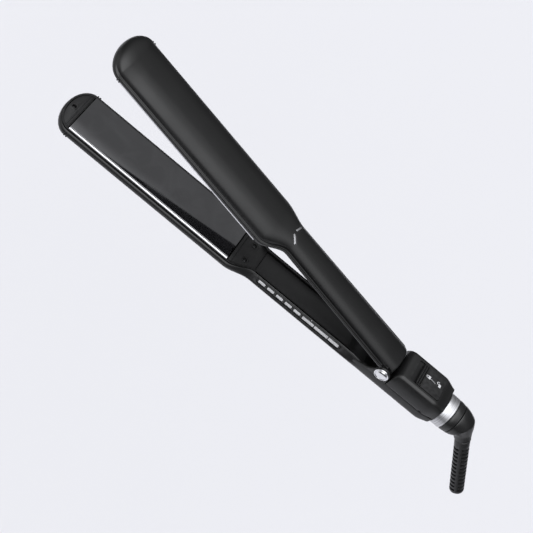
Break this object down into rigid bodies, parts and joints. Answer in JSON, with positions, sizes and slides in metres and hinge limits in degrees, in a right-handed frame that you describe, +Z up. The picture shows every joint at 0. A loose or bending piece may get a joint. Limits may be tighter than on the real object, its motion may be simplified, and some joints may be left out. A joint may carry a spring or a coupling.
{
  "type": "flat iron",
  "caption": "Hinged hair flat iron, open, with two long heated plates, a side control strip, a sliding lock on the rear housing and a bent swivel cord boot.",
  "frame": {"origin": "on the plane of the lower arm's flat underside, straight below the hinge axis", "axes": "+X along the lower arm towards the cord end, -Y the side with the controls, +Z up, square to the lower plate"},
  "size_m": [0.3651, 0.0386, 0.1214],
  "materials": {
    "housing": "soft-touch black lacquer over moulded heat-resistant nylon",
    "inner": "fine-textured black heat-resistant plastic",
    "trim": "satin dark grey plastic",
    "lens": "silver-white translucent plastic, satin",
    "board": "green solder-masked glass-fibre board",
    "ceramic": "pale unglazed ceramic heater",
    "boot": "black flexible vinyl, satin",
    "plate": "dark titanium-coated, polished to a mirror",
    "chrome": "polished chrome plate",
    "ring": "brushed silver",
    "steel": "plain machined steel"
  },
  "bodies": {
    "lower_arm": {"lower_shell": "housing", "lower_nose_cap": "inner", "lower_nose_screw": "steel", "lower_plate": "plate", "lower_heater": "ceramic", "lower_plate_carrier": "inner", "lower_plate_retainer": "inner", "lower_tail_screw_near": "steel", "lower_tail_screw_far": "steel", "lower_inner_cover": "inner", "control_trim": "trim", "indicator_lens_1": "lens", "indicator_lens_2": "lens", "indicator_lens_3": "lens", "indicator_lens_4": "lens", "indicator_lens_5": "lens", "control_board": "board", "hinge_pin": "steel", "pin_cap_near": "chrome", "pin_cap_far": "chrome", "opening_spring": "steel", "rear_housing": "housing", "swivel_ring": "ring"},
    "upper_arm": {"upper_shell": "housing", "inlay_dash_cross": "ring", "inlay_dash_slant": "ring", "upper_nose_cap": "inner", "upper_nose_screw": "steel", "upper_plate": "plate", "upper_heater": "ceramic", "upper_plate_carrier": "inner", "upper_plate_retainer": "inner", "upper_tail_screw_near": "steel", "upper_tail_screw_far": "steel", "upper_inner_cover": "inner", "hinge_yoke": "inner"},
    "lock_slider": {"latch_slider": "housing"},
    "power_key": {"power_button": "lens"},
    "heat_down_key": {"heat_down_button": "lens"},
    "heat_up_key": {"heat_up_button": "lens"},
    "cord_boot": {"swivel_collar": "boot", "swivel_elbow": "boot", "strain_relief": "boot"}
  },
  "joints": [
    {"name": "arm_hinge", "type": "hinge", "parent": "lower_arm", "child": "upper_arm", "pos_m": [0, 0, 0.0185], "axis": [0, -1, 0], "range_deg": [0, 15.2], "stiffness_Nm_per_rad": 1.2, "springref_deg": -20.05},
    {"name": "lock_slide", "type": "slide", "parent": "lower_arm", "child": "lock_slider", "axis": [-1, 0, 0], "range_m": [0, 0.0035]},
    {"name": "power_press", "type": "slide", "parent": "lower_arm", "child": "power_key", "axis": [0, 0.8878, -0.4602], "range_m": [0, 0.0006], "stiffness_N_per_m": 2000},
    {"name": "heat_down_press", "type": "slide", "parent": "lower_arm", "child": "heat_down_key", "axis": [0, 0.8878, -0.4602], "range_m": [0, 0.0006], "stiffness_N_per_m": 2000},
    {"name": "heat_up_press", "type": "slide", "parent": "lower_arm", "child": "heat_up_key", "axis": [0, 0.8878, -0.4602], "range_m": [0, 0.0006], "stiffness_N_per_m": 2000},
    {"name": "cord_swivel", "type": "hinge", "parent": "lower_arm", "child": "cord_boot", "pos_m": [0.0484, 0, 0.0137], "axis": [1, 0, 0], "continuous": true}
  ]
}
